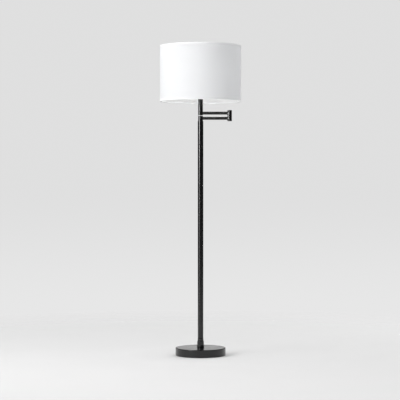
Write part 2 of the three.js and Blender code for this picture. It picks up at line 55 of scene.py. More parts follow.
scene = bpy.context.scene
camera = bpy.data.objects.new("camera", bpy.data.cameras.new("camera"))
camera.data.lens = LENS
camera.location = CAMERA_AT
camera.rotation_euler = (CAMERA_AIM - CAMERA_AT).to_track_quat("-Z", "Y").to_euler()
scene.collection.objects.link(camera)
scene.camera = camera
scene.view_settings.view_transform = "Standard"

# ---------- Sizes that the frame doesn't give, in millimetres ----------
FINE = 96  # sides of a pole-sized round piece
WIDE = 192  # sides of the base and the shade
SEAM = 0.7  # rounding of the pole's edges at its seams
POLE_WALL = 1.2
COVER_WALL = 1.5
HEM_ROUND = 1.4  # where the base cover's side turns in underneath
FABRIC_T = 0.5
FABRIC_LAP = 12  # where the cloth's ends overlap behind
LINER_T = 0.6
TAPE_T = 0.45
THREAD_DEPTH = 0.45
THREAD_PITCH = 1.4
BULB_PITCH = 3.6
BULB_GLOW = 20


class Span:
    """A CAD node's place and size at rest, in millimetres."""

    def __init__(self, node):
        low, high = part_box(node)
        self.low = [v / MM for v in low]
        self.high = [v / MM for v in high]
        self.x, self.y, self.z = [(a + b) / 2 for a, b in zip(self.low, self.high)]
        self.r = (self.high[0] - self.low[0]) / 2
        self.foot, self.top = self.low[2], self.high[2]
        self.height = self.top - self.foot


# ---------- Materials ----------
def add_node(tree, kind, inputs=None, **settings):
    """A node whose inputs are set to values, or linked where the value is another node's output."""
    node = tree.nodes.new(kind)
    for key, value in settings.items():
        setattr(node, key, value)
    for key, value in (inputs or {}).items():
        if isinstance(value, bpy.types.NodeSocket):
            tree.links.new(value, node.inputs[key])
        else:
            node.inputs[key].default_value = value
    return node


class Nodes:
    """Short calls that build one material's nodes."""

    def __init__(self, name, **values):
        self.material = bpy.data.materials.new(name)
        self.material.use_nodes = True
        self.tree = self.material.node_tree
        self.shader = self.tree.nodes["Principled BSDF"]
        self.output = self.tree.nodes["Material Output"]
        coordinates = self.tree.nodes.new("ShaderNodeTexCoord")
        self.place = coordinates.outputs["Object"]
        for key, value in values.items():
            self.shader.inputs[key.replace("_", " ")].default_value = value

    def add(self, kind, inputs=None, **settings):
        return add_node(self.tree, kind, inputs, **settings)

    def math(self, operation, a, b=0.0):
        return self.add("ShaderNodeMath", {0: a, 1: b}, operation=operation).outputs[0]

    def noise(self, scale, detail=2.0, roughness=0.5, vector=None):
        inputs = {"Vector": vector or self.place, "Scale": scale, "Detail": detail, "Roughness": roughness}
        return self.add("ShaderNodeTexNoise", inputs).outputs["Fac"]

    def stretched(self, x, y, z):
        inputs = {"Vector": self.place, "Scale": (x, y, z)}
        return self.add("ShaderNodeMapping", inputs).outputs["Vector"]

    def between(self, value, low, high, start=0.0, end=1.0):
        inputs = {"Value": value, "From Min": start, "From Max": end, "To Min": low, "To Max": high}
        return self.add("ShaderNodeMapRange", inputs).outputs["Result"]

    def colours(self, value, *stops):
        """A colour ramp of (place, colour) stops."""
        node = self.add("ShaderNodeValToRGB", {"Fac": value})
        marks = node.color_ramp.elements
        while len(marks) < len(stops):
            marks.new(0.5)
        for mark, (place, colour) in zip(marks, stops):
            mark.position = place
            mark.color = (*colour, 1)
        return node.outputs["Color"]

    def set(self, name, socket):
        self.tree.links.new(socket, self.shader.inputs[name])

    def bump(self, height, depth, strength=1.0):
        """Height 0 to 1 as a relief of that depth, in millimetres."""
        inputs = {"Height": height, "Distance": depth * MM, "Strength": strength}
        self.set("Normal", self.add("ShaderNodeBump", inputs).outputs["Normal"])

    def see_light_behind(self, share, colour):
        """Lets that share of the light through from the other side, as thin cloth or plastic does."""
        glow = self.add("ShaderNodeBsdfTranslucent", {"Color": (*colour, 1)})
        if self.shader.inputs["Normal"].is_linked:
            self.tree.links.new(self.shader.inputs["Normal"].links[0].from_socket, glow.inputs["Normal"])
        mix = self.add("ShaderNodeMixShader", {0: share, 1: self.shader.outputs[0], 2: glow.outputs[0]})
        self.tree.links.new(mix.outputs[0], self.output.inputs["Surface"])


def black_paint():
    """Satin black powder coat: faint mottling, a fine orange peel and a soft clear skin."""
    n = Nodes("black_paint", Coat_Weight=0.1, Coat_Roughness=0.15, Specular_IOR_Level=0.5)
    cloud = n.noise(9, 3)
    n.set("Base Color", n.colours(cloud, (0.3, (0.0035, 0.0035, 0.0037)), (0.7, (0.0055, 0.0055, 0.0058))))
    n.set("Roughness", n.between(n.noise(22, 4), 0.17, 0.24, 0.3, 0.7))
    n.bump(n.noise(600, 2, 0.6), 0.004, 0.5)
    return n.material


def plated(name, dark, light, roughness, relief=0.02):
    """Turned and plated metal, with fine tool marks around its axis."""
    n = Nodes(name, Metallic=1.0)
    marks = n.noise(240, 3, 0.7, n.stretched(0.4, 0.4, 14))
    n.set("Base Color", n.colours(n.noise(60, 4), (0.3, dark), (0.75, light)))
    n.set("Roughness", n.between(marks, roughness - 0.07, roughness + 0.09, 0.3, 0.7))
    n.bump(marks, relief, 0.35)
    return n.material


def cast_iron():
    n = Nodes("cast_iron", Metallic=0.6)
    grit = n.noise(420, 6, 0.7)
    n.set("Base Color", n.colours(grit, (0.3, (0.03, 0.028, 0.027)), (0.7, (0.085, 0.08, 0.076))))
    n.set("Roughness", n.between(grit, 0.62, 0.85, 0.3, 0.7))
    n.bump(grit, 0.35)
    return n.material


def foot_foam():
    """Closed-cell foam with a dull skin full of small pits."""
    n = Nodes("foot_foam", Specular_IOR_Level=0.25)
    cells = n.add("ShaderNodeTexVoronoi", {"Vector": n.place, "Scale": 900.0}).outputs["Distance"]
    n.set("Base Color", n.colours(cells, (0.1, (0.006, 0.006, 0.006)), (0.6, (0.018, 0.018, 0.018))))
    n.set("Roughness", n.between(n.noise(150), 0.82, 0.95, 0.3, 0.7))
    n.bump(cells, 0.25)
    return n.material


def moulded(name, dark, light, roughness, relief=0.03, scale=600):
    """Moulded rubber or plastic with a fine even texture."""
    n = Nodes(name)
    grain = n.noise(scale, 3, 0.6)
    n.set("Base Color", n.colours(n.noise(40, 3), (0.3, dark), (0.7, light)))
    n.set("Roughness", n.between(grain, roughness - 0.06, roughness + 0.08, 0.3, 0.7))
    n.bump(grain, relief)
    return n.material


def opal_bulb():
    """A white diffuser dome with a soft inner glow."""
    n = Nodes("opal_bulb", Coat_Weight=0.25, Coat_Roughness=0.12, Emission_Strength=BULB_GLOW)
    n.shader.inputs["Emission Color"].default_value = (1, 1, 1, 1)
    n.set("Base Color", n.colours(n.noise(14, 2), (0.3, (0.84, 0.83, 0.79)), (0.7, (0.88, 0.87, 0.84))))
    n.set("Roughness", n.between(n.noise(90, 3), 0.24, 0.34, 0.3, 0.7))
    n.bump(n.noise(700, 2), 0.01, 0.4)
    return n.material


def white_enamel():
    n = Nodes("white_enamel", Coat_Weight=0.2, Coat_Roughness=0.2)
    n.set("Base Color", n.colours(n.noise(120, 3), (0.3, (0.76, 0.76, 0.75)), (0.7, (0.82, 0.82, 0.81))))
    n.set("Roughness", n.between(n.noise(200, 3), 0.32, 0.46, 0.3, 0.7))
    n.bump(n.noise(800, 2), 0.03, 0.5)
    return n.material


def liner_sheet():
    """Smooth white styrene with the faint long streaks of a rolled sheet."""
    n = Nodes("liner_sheet", Specular_IOR_Level=0.35)
    streaks = n.noise(30, 3, 0.5, n.stretched(1, 1, 12))
    n.set("Base Color", n.colours(streaks, (0.3, (0.875, 0.875, 0.865)), (0.7, (0.905, 0.905, 0.895))))
    n.set("Roughness", n.between(streaks, 0.48, 0.6, 0.3, 0.7))
    n.bump(n.noise(260, 2), 0.03, 0.5)
    n.see_light_behind(0.55, (0.95, 0.95, 0.95))
    return n.material


def cloth(name, radius, pitch, relief, see_through, tint=1.0, fold_highlight_gain=1.0):
    """Plain-woven cloth round a drum: warp threads upright, weft threads round, with slubs. Where a folded
    edge faces up or down, its colour is made lighter there: a painted highlight for the light that such a
    fold catches."""
    n = Nodes(name, Specular_IOR_Level=0.15, Sheen_Weight=0.12, Sheen_Roughness=0.5)
    axes = n.add("ShaderNodeSeparateXYZ", {0: n.place}).outputs
    around = n.math("MULTIPLY", n.math("ARCTAN2", axes["Y"], axes["X"]), radius * MM)
    warp = n.math("DIVIDE", around, pitch * MM)
    weft = n.math("DIVIDE", axes["Z"], pitch * MM)
    warp_crown = n.math("ABSOLUTE", n.math("SINE", n.math("MULTIPLY", warp, math.pi)))
    weft_crown = n.math("ABSOLUTE", n.math("SINE", n.math("MULTIPLY", weft, math.pi)))
    over = n.math("ADD", n.math("FLOOR", warp), n.math("FLOOR", weft))
    over = n.math("PINGPONG", over, 1.0)
    top_warp = n.math("MULTIPLY", warp_crown, n.math("ADD", n.math("MULTIPLY", weft_crown, 0.4), 0.6))
    top_weft = n.math("MULTIPLY", weft_crown, n.math("ADD", n.math("MULTIPLY", warp_crown, 0.4), 0.6))
    weave = n.math("ADD", n.math("MULTIPLY", top_warp, over),
                   n.math("MULTIPLY", top_weft, n.math("SUBTRACT", 1.0, over)))
    slub_place = n.add("ShaderNodeCombineXYZ", {0: n.math("MULTIPLY", warp, 0.06), 1: weft}).outputs[0]
    slubs = n.noise(0.9, 3, 0.6, slub_place)
    shade_of = n.math("ADD", n.math("MULTIPLY", weave, 0.35), n.math("MULTIPLY", slubs, 0.65))
    low = tuple(tint * v for v in (0.85, 0.854, 0.862))
    high = tuple(tint * v for v in (0.9, 0.904, 0.912))
    colour = n.colours(shade_of, (0.2, low), (0.75, high))
    # Painted highlight: the colour is scaled up where the surface faces up or down, standing in for light
    # caught by the folds.
    if fold_highlight_gain != 1.0:
        normal = n.add("ShaderNodeNewGeometry").outputs["Normal"]
        level = n.math("ABSOLUTE", n.add("ShaderNodeSeparateXYZ", {0: normal}).outputs["Z"])
        scale = n.between(level, 1.0, fold_highlight_gain, 0.3, 0.9)
        fold_highlight = n.add("ShaderNodeVectorMath", {0: colour, "Scale": scale}, operation="SCALE")
        colour = fold_highlight.outputs["Vector"]
    n.set("Base Color", colour)
    n.set("Roughness", n.between(slubs, 0.86, 0.96, 0.3, 0.7))
    n.bump(n.math("ADD", weave, n.math("MULTIPLY", slubs, 0.8)), relief)
    n.see_light_behind(see_through, (0.93, 0.935, 0.945))
    return n.material


shade_span = Span("shade_fabric")
paint = black_paint()
zinc = plated("zinc_plate", (0.42, 0.42, 0.42), (0.62, 0.62, 0.6), 0.36)
nickel = plated("nickel_plate", (0.52, 0.5, 0.46), (0.64, 0.62, 0.58), 0.26, 0.003)
brass = plated("brass", (0.5, 0.34, 0.12), (0.68, 0.47, 0.2), 0.3)
iron = cast_iron()
foam = foot_foam()
rubber = moulded("black_rubber", (0.009, 0.009, 0.009), (0.016, 0.016, 0.016), 0.6)
jacket = moulded("lead_jacket", (0.014, 0.014, 0.015), (0.024, 0.024, 0.025), 0.5, 0.02)
phenolic = moulded("phenolic", (0.014, 0.009, 0.007), (0.026, 0.018, 0.013), 0.42, 0.02)
fibre = moulded("fibre_sleeve", (0.07, 0.05, 0.033), (0.11, 0.08, 0.055), 0.85, 0.1)
opal = opal_bulb()
enamel = white_enamel()
liner_plastic = liner_sheet()
fabric = cloth("shade_cloth", shade_span.r, 0.6, 0.12, 0.5)
# The last figure is the painted highlight on the tape's folds, which face up or down.
tape = cloth("trim_tape", shade_span.r, 0.42, 0.07, 0.1, 0.97, 1.1)


# ---------- Shapes: each is (points, faces), in millimetres ----------
def rounded(corners, closed=True, steps=5):
    """An outline from (radius, height, rounding) corners, each rounded by an arc."""
    outline = []
    for i, (r, z, rounding) in enumerate(corners):
        here = Vector((r, z))
        if rounding == 0 or not closed and i in (0, len(corners) - 1):
            outline.append(here)
            continue
        before = (Vector(corners[i - 1][:2]) - here).normalized()
        after = (Vector(corners[(i + 1) % len(corners)][:2]) - here).normalized()
        half = before.angle(after) / 2
        centre = here + (before + after).normalized() * (rounding / math.sin(half))
        start = here + before * (rounding / math.tan(half)) - centre
        turn = math.copysign(math.pi - 2 * half, start.x * after.y - start.y * after.x)
        for k in range(steps + 1):
            outline.append(centre + Matrix.Rotation(turn * k / steps, 2) @ start)
    return [tuple(p) for p in outline]


def lathe(outline, sides=FINE, closed=True, at=(0, 0), vary=None):
    """An outline of (radius, height) turned about an upright axis. vary(angle, r, z) changes the radius."""
    points, rows = [], []
    for r, z in outline:
        if r < 1e-6:
            rows.append([len(points)] * sides)
            points.append((at[0], at[1], z))
            continue
        rows.append(list(range(len(points), len(points) + sides)))
        for k in range(sides):
            angle = 2 * math.pi * k / sides
            reach = vary(angle, r, z) if vary else r
            points.append((at[0] + reach * math.cos(angle), at[1] + reach * math.sin(angle), z))
    pairs = list(zip(rows, rows[1:])) + ([(rows[-1], rows[0])] if closed else [])
    faces = []
    for low, high in pairs:
        for k in range(sides):
            j = (k + 1) % sides
            face = list(dict.fromkeys((low[k], low[j], high[j], high[k])))
            if len(face) > 2:
                faces.append(face)
    return points, faces


def loft(sections):
    """Sections with the same number of points each, joined in order and capped at both ends."""
    count = len(sections[0])
    points = [p for section in sections for p in section]
    faces = [list(range(count))[::-1], list(range(len(points) - count, len(points)))]
    for s in range(len(sections) - 1):
        for k in range(count):
            a, b = s * count + k, s * count + (k + 1) % count
            faces.append([a, b, b + count, a + count])
    return points, faces


def smooth_path(points, each=8):
    """A Catmull-Rom curve through the points, with that many steps between each pair."""
    ends = [2 * Vector(points[0]) - Vector(points[1]), *map(Vector, points),
            2 * Vector(points[-1]) - Vector(points[-2])]
    path = []
    for a, b, c, d in zip(ends, ends[1:], ends[2:], ends[3:]):
        for k in range(each):
            t = k / each
            path.append(0.5 * (2 * b + (c - a) * t + (2 * a - 5 * b + 4 * c - d) * t * t
                               + (3 * b - a - 3 * c + d) * t ** 3))
    return [*path, ends[-2]]


def wire(path, radius, sides=16):
    """A round wire along a path, with softly rounded ends."""
    ahead = [(path[min(i + 1, len(path) - 1)] - path[max(i - 1, 0)]).normalized() for i in range(len(path))]
    side = ahead[0].orthogonal().normalized()
    sections = []
    for i, (centre, along) in enumerate(zip(path, ahead)):
        side = (side - along * side.dot(along)).normalized()
        other = along.cross(side)
        sections.append([tuple(centre + radius * (side * math.cos(a) + other * math.sin(a)))
                         for a in (2 * math.pi * k / sides for k in range(sides))])
    for section, centre, way in ((sections[0], path[0], -1), (sections[-1], path[-1], 1)):
        along = ahead[0] if way < 0 else ahead[-1]
        tip = [tuple(centre + (Vector(p) - centre) * 0.6 + along * (way * radius * 0.35)) for p in section]
        sections.insert(0 if way < 0 else len(sections), tip)
    return loft(sections)


def moved(shape, matrix):
    points, faces = shape
    return [tuple(matrix @ Vector(p)) for p in points], faces


def merged(*shapes):
    points, faces = [], []
    for more_points, more_faces in shapes:
        start = len(points)
        points += more_points
        faces += [[start + i for i in face] for face in more_faces]
    return points, faces


def threads(radius, foot, top, pitch=THREAD_PITCH, depth=THREAD_DEPTH):
    """The outline points of a thread's crests and roots, running up."""
    count = int((top - foot) / pitch)
    step = (top - foot) / count
    outline = []
    for k in range(count):
        outline += [(radius - depth, foot + k * step), (radius, foot + (k + 0.5) * step)]
    return [*outline, (radius - depth, top)]


def mesh_in_metres(name, shape):
    points, faces = shape
    mesh = bpy.data.meshes.new(name)
    mesh.from_pydata([[v * MM for v in p] for p in points], [], faces)
    return mesh


def piece(name, shape, material, body, nodes=(), sharp=35):
    """A mesh object in metres that rides on its body and stands for its CAD nodes."""
    mesh = mesh_in_metres(name, shape)
    shell = bmesh.new()
    shell.from_mesh(mesh)
    bmesh.ops.recalc_face_normals(shell, faces=shell.faces)
    shell.to_mesh(mesh)
    shell.free()
    mesh.shade_smooth()
    mesh.set_sharp_from_angle(angle=math.radians(sharp))
    mesh.materials.append(material)
    made = bpy.data.objects.new(name, mesh)
    scene.collection.objects.link(made)
    made.modifiers.new("flat_faces_stay_flat", "WEIGHTED_NORMAL").keep_sharp = True
    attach(made, body)
    if nodes:
        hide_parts(*nodes)
    return made


# ---------- Base ----------
def base_shell():
    s = Span("base_cover")
    stud = Span("base_stud").r + 0.2
    pad = Span("base_pad").r + 0.4
    foot, top, r = s.foot, s.top, s.r
    outline = rounded([
        (pad, foot, 0.3), (r, foot, HEM_ROUND), (r, top, 3.0), (stud, top, 0), (stud, top - COVER_WALL, 0),
        (r - COVER_WALL, top - COVER_WALL, 1.5), (r - COVER_WALL, foot + COVER_WALL, 0.8),
        (pad, foot + COVER_WALL, 0.3)], steps=7)
    cover = piece("base_shell", lathe(outline, WIDE), paint, "root", ["base_cover"])
    inlet = Span("cord_bushing")
    drill = lathe([(0, -12), (inlet.r - 1.8, -12), (inlet.r - 1.8, 12), (0, 12)], 48, closed=False)
    turn = Matrix.Translation((inlet.x, inlet.y, inlet.z)) @ Matrix.Rotation(math.pi / 2, 4, "X")
    cut_hole(cover, moved(drill, turn))


def cut_hole(made, tool_shape):
    """Cuts the tool's shape out of a piece's mesh."""
    drill = bpy.data.objects.new("drill", mesh_in_metres("drill", tool_shape))
    scene.collection.objects.link(drill)
    cut = made.modifiers.new("hole", "BOOLEAN")
    cut.operation, cut.object, cut.solver = "DIFFERENCE", drill, "EXACT"
    made.modifiers.move(len(made.modifiers) - 1, 0)
    bpy.context.view_layer.update()
    result = bpy.data.meshes.new_from_object(made.evaluated_get(bpy.context.evaluated_depsgraph_get()))
    made.modifiers.clear()
    made.data = result
    bpy.data.objects.remove(drill)


def base_details():
    pad = Span("base_pad")
    hole = Span("base_washer").r + 6
    outline = rounded([(hole, pad.foot, 0.4), (pad.r, pad.foot, 0.8), (pad.r, pad.top, 0.3),
                       (hole, pad.top, 0.3)])
    piece("foot_pad", lathe(outline, WIDE), foam, "root", ["base_pad"])

    inlet = Span("cord_bushing")
    neck = inlet.r - 2
    flange = inlet.high[1]
    wall = flange - 2.7
    outline = rounded([
        (3.1, wall - 3.9, 0.3), (neck + 1.2, wall - 3.9, 0.5), (neck, wall - 2.4, 0), (neck, wall, 0),
        (inlet.r, wall, 0.3), (inlet.r - 0.6, flange, 0.8), (3.1, flange, 0.7)])
    turn = Matrix.Translation((0, 0, inlet.z)) @ Matrix.Rotation(-math.pi / 2, 4, "X")
    piece("inlet_bushing", moved(lathe(outline, 64), turn), rubber, "root", ["cord_bushing"])

    s = Span("base_collar")
    bore = Span("base_stud").r + 0.2
    outline = rounded([
        (bore, s.foot, 0), (s.r, s.foot, 0.4), (s.r, s.foot + 7.8, 1.6), (s.r - 0.6, s.foot + 10.4, 1.6),
        (s.r - 1, s.top, 2), (bore, s.top, 0)], steps=8)
    piece("collar", lathe(outline), paint, "root", ["base_collar"])

    s = Span("pole_neck")
    stud = Span("base_stud")
    shoulder = Span("pole_section_1").foot - 0.3
    spigot = Span("pole_section_1").r - POLE_WALL - 0.15
    outline = rounded([
        (bore, s.foot, 0), (s.r, s.foot, 0.8), (s.r, shoulder, 1.6), (spigot, shoulder, 0),
        (spigot, s.top, 0.5), (bore, s.top, 0)], steps=8)
    piece("neck_ring", lathe(outline), paint, "root", ["pole_neck"])

    bore = stud.r - 2.3
    outline = [*threads(stud.r, stud.foot, stud.top), (bore, stud.top), (bore, stud.foot)]
    piece("hollow_stud", lathe(outline, 48), zinc, "root", ["base_stud"])
    flat_ring("stud_washer", "base_washer", stud.r + 0.2, zinc, "root")
    nut("stud_nut", "base_nut", stud.r + 0.1, "root")


def flat_ring(name, node, bore, material, body, soft=0.25):
    s = Span(node)
    outline = rounded([(bore, s.foot, soft / 2), (s.r, s.foot, soft), (s.r, s.top, soft),
                       (bore, s.top, soft / 2)], steps=3)
    return piece(name, lathe(outline, at=(s.x, s.y)), material, body, [node])


def nut(name, node, bore, body):
    """A hexagon nut with its corners chamfered above and below."""
    s = Span(node)
    flat = s.r * math.cos(math.pi / 6)
    sides, step = 72, math.pi / 3

    def hexagon(angle, r, z):
        edge = flat / math.cos((angle + step / 2) % step - step / 2)
        return r if r <= flat else min(edge, r)

    drop = (s.r - flat) * 0.5
    outline = [(bore, s.foot), (flat * 0.96, s.foot), (s.r, s.foot + drop), (s.r, s.top - drop),
               (flat * 0.96, s.top), (bore, s.top)]
    piece(name, lathe(outline, sides, at=(s.x, s.y), vary=hexagon), zinc, body, [node], 25)


# ---------- Pole ----------
def pole():
    for k, name in enumerate(["pole_section_1", "pole_section_2", "pole_section_3", "pole_top_section"]):
        s = Span(name)
        last = name == "pole_top_section"
        bore = s.r - POLE_WALL
        mouth = Span("lower_hub").r - 1.0 if last else bore
        end = [(s.r, s.top, 0.8), (mouth, s.top, 0.2), (mouth, s.top - 1.2, 0), (bore, s.top - 1.2, 0)]
        plain = [(s.r, s.top, SEAM), (bore, s.top, 0.2)]
        outline = rounded([(bore, s.foot, 0.2), (s.r, s.foot, SEAM), *(end if last else plain)])
        piece(f"pole_tube_{k + 1}", lathe(outline), paint, "root", [name])


# ---------- Arms ----------
ELBOW = Span("elbow_lower")


def upright(name, node, rounding_foot, rounding_top, body, wall=1.5):
    """An upright tube such as a hub, elbow or post, with its own rounding at each end."""
    s = Span(node)
    bore = s.r - wall
    outline = rounded([(bore, s.foot, 0.2), (s.r, s.foot, rounding_foot), (s.r, s.top, rounding_top),
                       (bore, s.top, 0.2)])
    piece(name, lathe(outline, at=(s.x, s.y)), paint, body, [node])


def end_cap(name, node, body, upwards=True, spigot=2.0, rounding=0.7):
    """A turned cap whose outer face is slightly crowned and whose spigot hides in the tube."""
    s = Span(node)
    seat = s.top - (s.height - spigot) if upwards else s.foot + (s.height - spigot)
    outer, inner = (s.top, s.foot) if upwards else (s.foot, s.top)
    outline = rounded([
        (0, inner, 0), (s.r - 1.9, inner, 0.2), (s.r - 1.9, seat, 0), (s.r, seat, 0.2),
        (s.r, outer, rounding), (0, outer, 0)], closed=False)
    piece(name, lathe(outline, closed=False, at=(s.x, s.y)), paint, body, [node])


def arm(name, node, near, far, body):
    """An arm tube whose ends follow the round uprights that it is brazed to, with a small fillet."""
    s = Span(node)
    r = s.height / 2
    fillet = [(1.5, -0.35), (1.5, 0.0), (0.85, 0.22), (0.42, 0.6), (0.15, 1.1), (0, 1.8)]
    middle = [(0, (ELBOW.x - near.r - far.r) * k / 12) for k in range(1, 7)]

    def section(upright_piece, side, grow, away):
        ring = []
        for k in range(64):
            angle = 2 * math.pi * k / 64
            y = (r + grow) * math.cos(angle)
            reach = math.sqrt(upright_piece.r ** 2 - y * y) + away
            ring.append((upright_piece.x + side * reach, y, s.z + (r + grow) * math.sin(angle)))
        return ring

    first = [section(near, 1, *ring) for ring in fillet + middle]
    last = [section(far, -1, *ring) for ring in reversed(fillet)]
    piece(name, loft(first + last), paint, body, [node])


def lower_arm():
    upright("hub", "lower_hub", 0.5, 0.3, "lower_arm", wall=2.6)
    end_cap("hub_cap", "lower_hub_cap", "lower_arm")
    upright("elbow_half_lower", "elbow_lower", 0.3, 0.25, "lower_arm", wall=2.4)
    end_cap("elbow_cap_lower", "elbow_bottom_cap", "lower_arm", upwards=False)
    arm("arm_lower", "lower_arm_tube", Span("lower_hub"), ELBOW, "lower_arm")


def upper_arm():
    upright("elbow_half_upper", "elbow_upper", 0.25, 0.3, "upper_arm", wall=2.4)
    end_cap("elbow_cap_upper", "elbow_top_cap", "upper_arm")
    arm("arm_upper", "upper_arm_tube", Span("post"), Span("elbow_upper"), "upper_arm")
    upright("light_post", "post", 0.3, 0.3, "upper_arm")
    end_cap("post_cap_lower", "post_bottom_cap", "upper_arm", upwards=False)

    s = Span("post_top_cap")
    post = Span("post")
    nipple = Span("socket_nipple")
    outline = rounded([
        (nipple.r + 0.1, s.foot, 0), (post.r - 1.8, s.foot, 0.2), (post.r - 1.8, post.top + 0.3, 0),
        (s.r, post.top + 0.3, 0.2), (s.r, post.top + 2, 0.8), (s.r - 2.2, s.top, 0.6),
        (nipple.r + 0.1, s.top, 0.2)])
    piece("post_cap_upper", lathe(outline), paint, "upper_arm", ["post_top_cap"])
    outline = [*threads(nipple.r, nipple.foot, nipple.top, 1.0, 0.35), (3, nipple.top), (3, nipple.foot)]
    piece("hollow_nipple", lathe(outline, 48), zinc, "upper_arm", ["socket_nipple"])


# ---------- Harp ----------
# The outline of one side of the harp: shares of its half-width, and of its height.
HARP_SIDE = [
    (0.463, 0.0), (0.463, 0.045), (0.475, 0.085), (0.62, 0.155), (0.86, 0.29), (0.969, 0.45),
    (0.965, 0.6), (0.85, 0.75), (0.62, 0.875), (0.36, 0.955), (0.19, 0.985), (0.09, 0.99)]
HARP_WIRE_R = 1.8


def harp():
    s = Span("harp")
    boss_r = s.high[1]
    top = s.top - HARP_WIRE_R
    rise = top - s.foot
    sides = []
    for side in (-1, 1):
        points = [(side * x * s.r, 0, s.foot + z * rise / HARP_SIDE[-1][1]) for x, z in HARP_SIDE]
        sides.append(wire(smooth_path(points), HARP_WIRE_R, 20))
    boss = lathe(rounded([
        (3.4, s.top - 3.6, 0.3), (boss_r, s.top - 3.6, 0.6), (boss_r, s.top, 0.6), (3.4, s.top, 0.3)]), 64)
    piece("harp_hoop", merged(*sides, boss), nickel, "upper_arm", ["harp"])

    for side in ("left", "right"):
        s = Span(f"harp_sleeve_{side}")
        outline = rounded([
            (2.5, s.foot, 0.2), (s.r, s.foot, 0.5), (s.r, s.foot + 1.6, 0.2), (s.r - 0.5, s.foot + 2.2, 0.2),
            (s.r - 0.7, s.top - 1.5, 0.3), (s.r - 1.4, s.top, 0.4), (2.0, s.top, 0.1)], steps=4)
        name = f"harp_lock_{side}"
        piece(name, lathe(outline, 48, at=(s.x, 0)), nickel, "upper_arm", [f"harp_sleeve_{side}"])


def saddle():
    """A bent strip: level under the socket, turned up at each side, and narrowed to tongues."""
    s = Span("harp_saddle")
    thick, wide, bend = 1.6, s.high[1], 3.2
    foot_x = s.r - thick / 2
    level = s.foot + thick / 2
    stations = [(((foot_x - bend) * k / 6, level), (0, 1), wide) for k in range(7)]
    for k in range(1, 9):
        a = math.pi / 2 * k / 8
        spot = (foot_x - bend + bend * math.sin(a), level + bend - bend * math.cos(a))
        stations.append((spot, (-math.sin(a), math.cos(a)), wide))
    for z, half in ((s.foot + 7.5, wide), (s.foot + 9.0, wide * 0.8), (s.foot + 10, wide * 0.45),
                    (s.foot + 10.8, 2.2), (s.top - 1, 2.2), (s.top, 1.6)):
        stations.append(((foot_x, z), (-1, 0), half))
    whole = [((-x, z), (-nx, nz), half) for (x, z), (nx, nz), half in reversed(stations[1:])] + stations
    soft = 0.3  # chamfer along the strip's edges
    sections = []
    for (x, z), (nx, nz), half in whole:
        ring = []
        for y, t in ((-half, -1), (-half, 1), (half, 1), (half, -1)):
            sign = 1 if y > 0 else -1
            insets = [(0, soft), (soft, 0)]
            if (t > 0) != (y < 0):
                insets.reverse()
            for inset_y, inset_t in insets:
                offset = t * (thick / 2 - inset_t)
                ring.append((x + nx * offset, y - sign * inset_y, z + nz * offset))
        sections.append(ring)
    piece("harp_bracket", loft(sections), nickel, "upper_arm", ["harp_saddle"], 30)


# ---------- Socket, switch and bulb ----------
def socket():
    s = Span("socket_cap")
    bore = Span("socket_nipple").r + 0.2
    dome = [(8.5, s.foot + 0.3), (8.5, s.foot + 3.6), (9.0, s.foot + 4.6), (10.6, s.foot + 5.6),
            (12.9, s.foot + 7.2), (14.8, s.foot + 9.4), (16.0, s.foot + 12), (16.6, s.foot + 14.2)]
    rim = [(s.r, s.foot + 14.8), (s.r, s.top - 0.4), (s.r - 0.3, s.top), (s.r - 0.8, s.top)]
    inside = [(s.r - 0.8, s.foot + 14), (11.6, s.foot + 8), (bore, s.foot + 5.4), (bore, s.foot)]
    outline = [(8.2, s.foot), *dome, *rim, *inside]
    piece("socket_cup", lathe(outline), paint, "upper_arm", ["socket_cap"])

    r = s.r - 1.2
    s = Span("socket_shell")
    mouth = s.top
    wall = 0.7
    outline = rounded([
        (r - wall, s.foot, 0), (r, s.foot, 0.2), (r, mouth - 10, 0.6), (r + wall, mouth - 8, 0.7),
        (r + wall, mouth - 6, 0.7), (r, mouth - 4, 0.6), (r, mouth, 0.3), (r - wall, mouth, 0.3)], steps=4)
    boss = lathe(rounded([(2.5, -1, 0), (5.2, -1, 0), (4.8, 1.2, 0.5), (2.5, 1.2, 0.3)]), 48)
    face = Matrix.Translation((0, -r, Span("switch_stem").z)) @ Matrix.Rotation(math.pi / 2, 4, "X")
    shape = merged(lathe(outline), moved(boss, face))
    piece("socket_barrel", shape, paint, "upper_arm", ["socket_shell"])

    s = Span("socket_sleeve")
    flat_ring("fibre_tube", "socket_sleeve", s.r - 0.45, fibre, "upper_arm", 0.1)
    s = Span("socket_screw_shell")
    crests = threads(s.r, s.foot, s.top, BULB_PITCH, 0.35)
    inner = [(r - 0.3, z) for r, z in reversed(crests)]
    piece("screw_shell", lathe([*crests, *inner]), brass, "upper_arm", ["socket_screw_shell"])


def switch():
    s = Span("switch_knob")
    stem = Span("switch_stem")
    near, far = -s.high[1], -s.low[1]
    height = s.height / 2
    flutes = 20

    def fluted(angle, r, z):
        share = max(0.0, (r - 5.2) / (height - 5.2))
        return r - share * 0.45 * (1 + math.cos(flutes * angle)) / 2

    crown = [(0, far - 0.7), (2.5, far - 0.6), (3.6, far - 0.1), (4.6, far)]
    outline = [*rounded([(2.2, near, 0), (height, near, 0.5), (height, far - 0.2, 0.9), (4.6, far, 0)],
                        closed=False, steps=4)][:-1] + crown[::-1]
    shape = lathe([(0, near), *outline], 160, closed=False, vary=fluted)
    turn = Matrix.Translation((0, 0, stem.z)) @ Matrix.Rotation(math.pi / 2, 4, "X")
    piece("knob", moved(shape, turn), rubber, "switch", ["switch_knob"])
    outline = [(0, -stem.high[1]), (2, -stem.high[1]), (2, -stem.low[1]), (0, -stem.low[1])]
    shape = moved(lathe(outline, 48, closed=False), turn)
    piece("switch_shaft", shape, brass, "switch", ["switch_stem"])


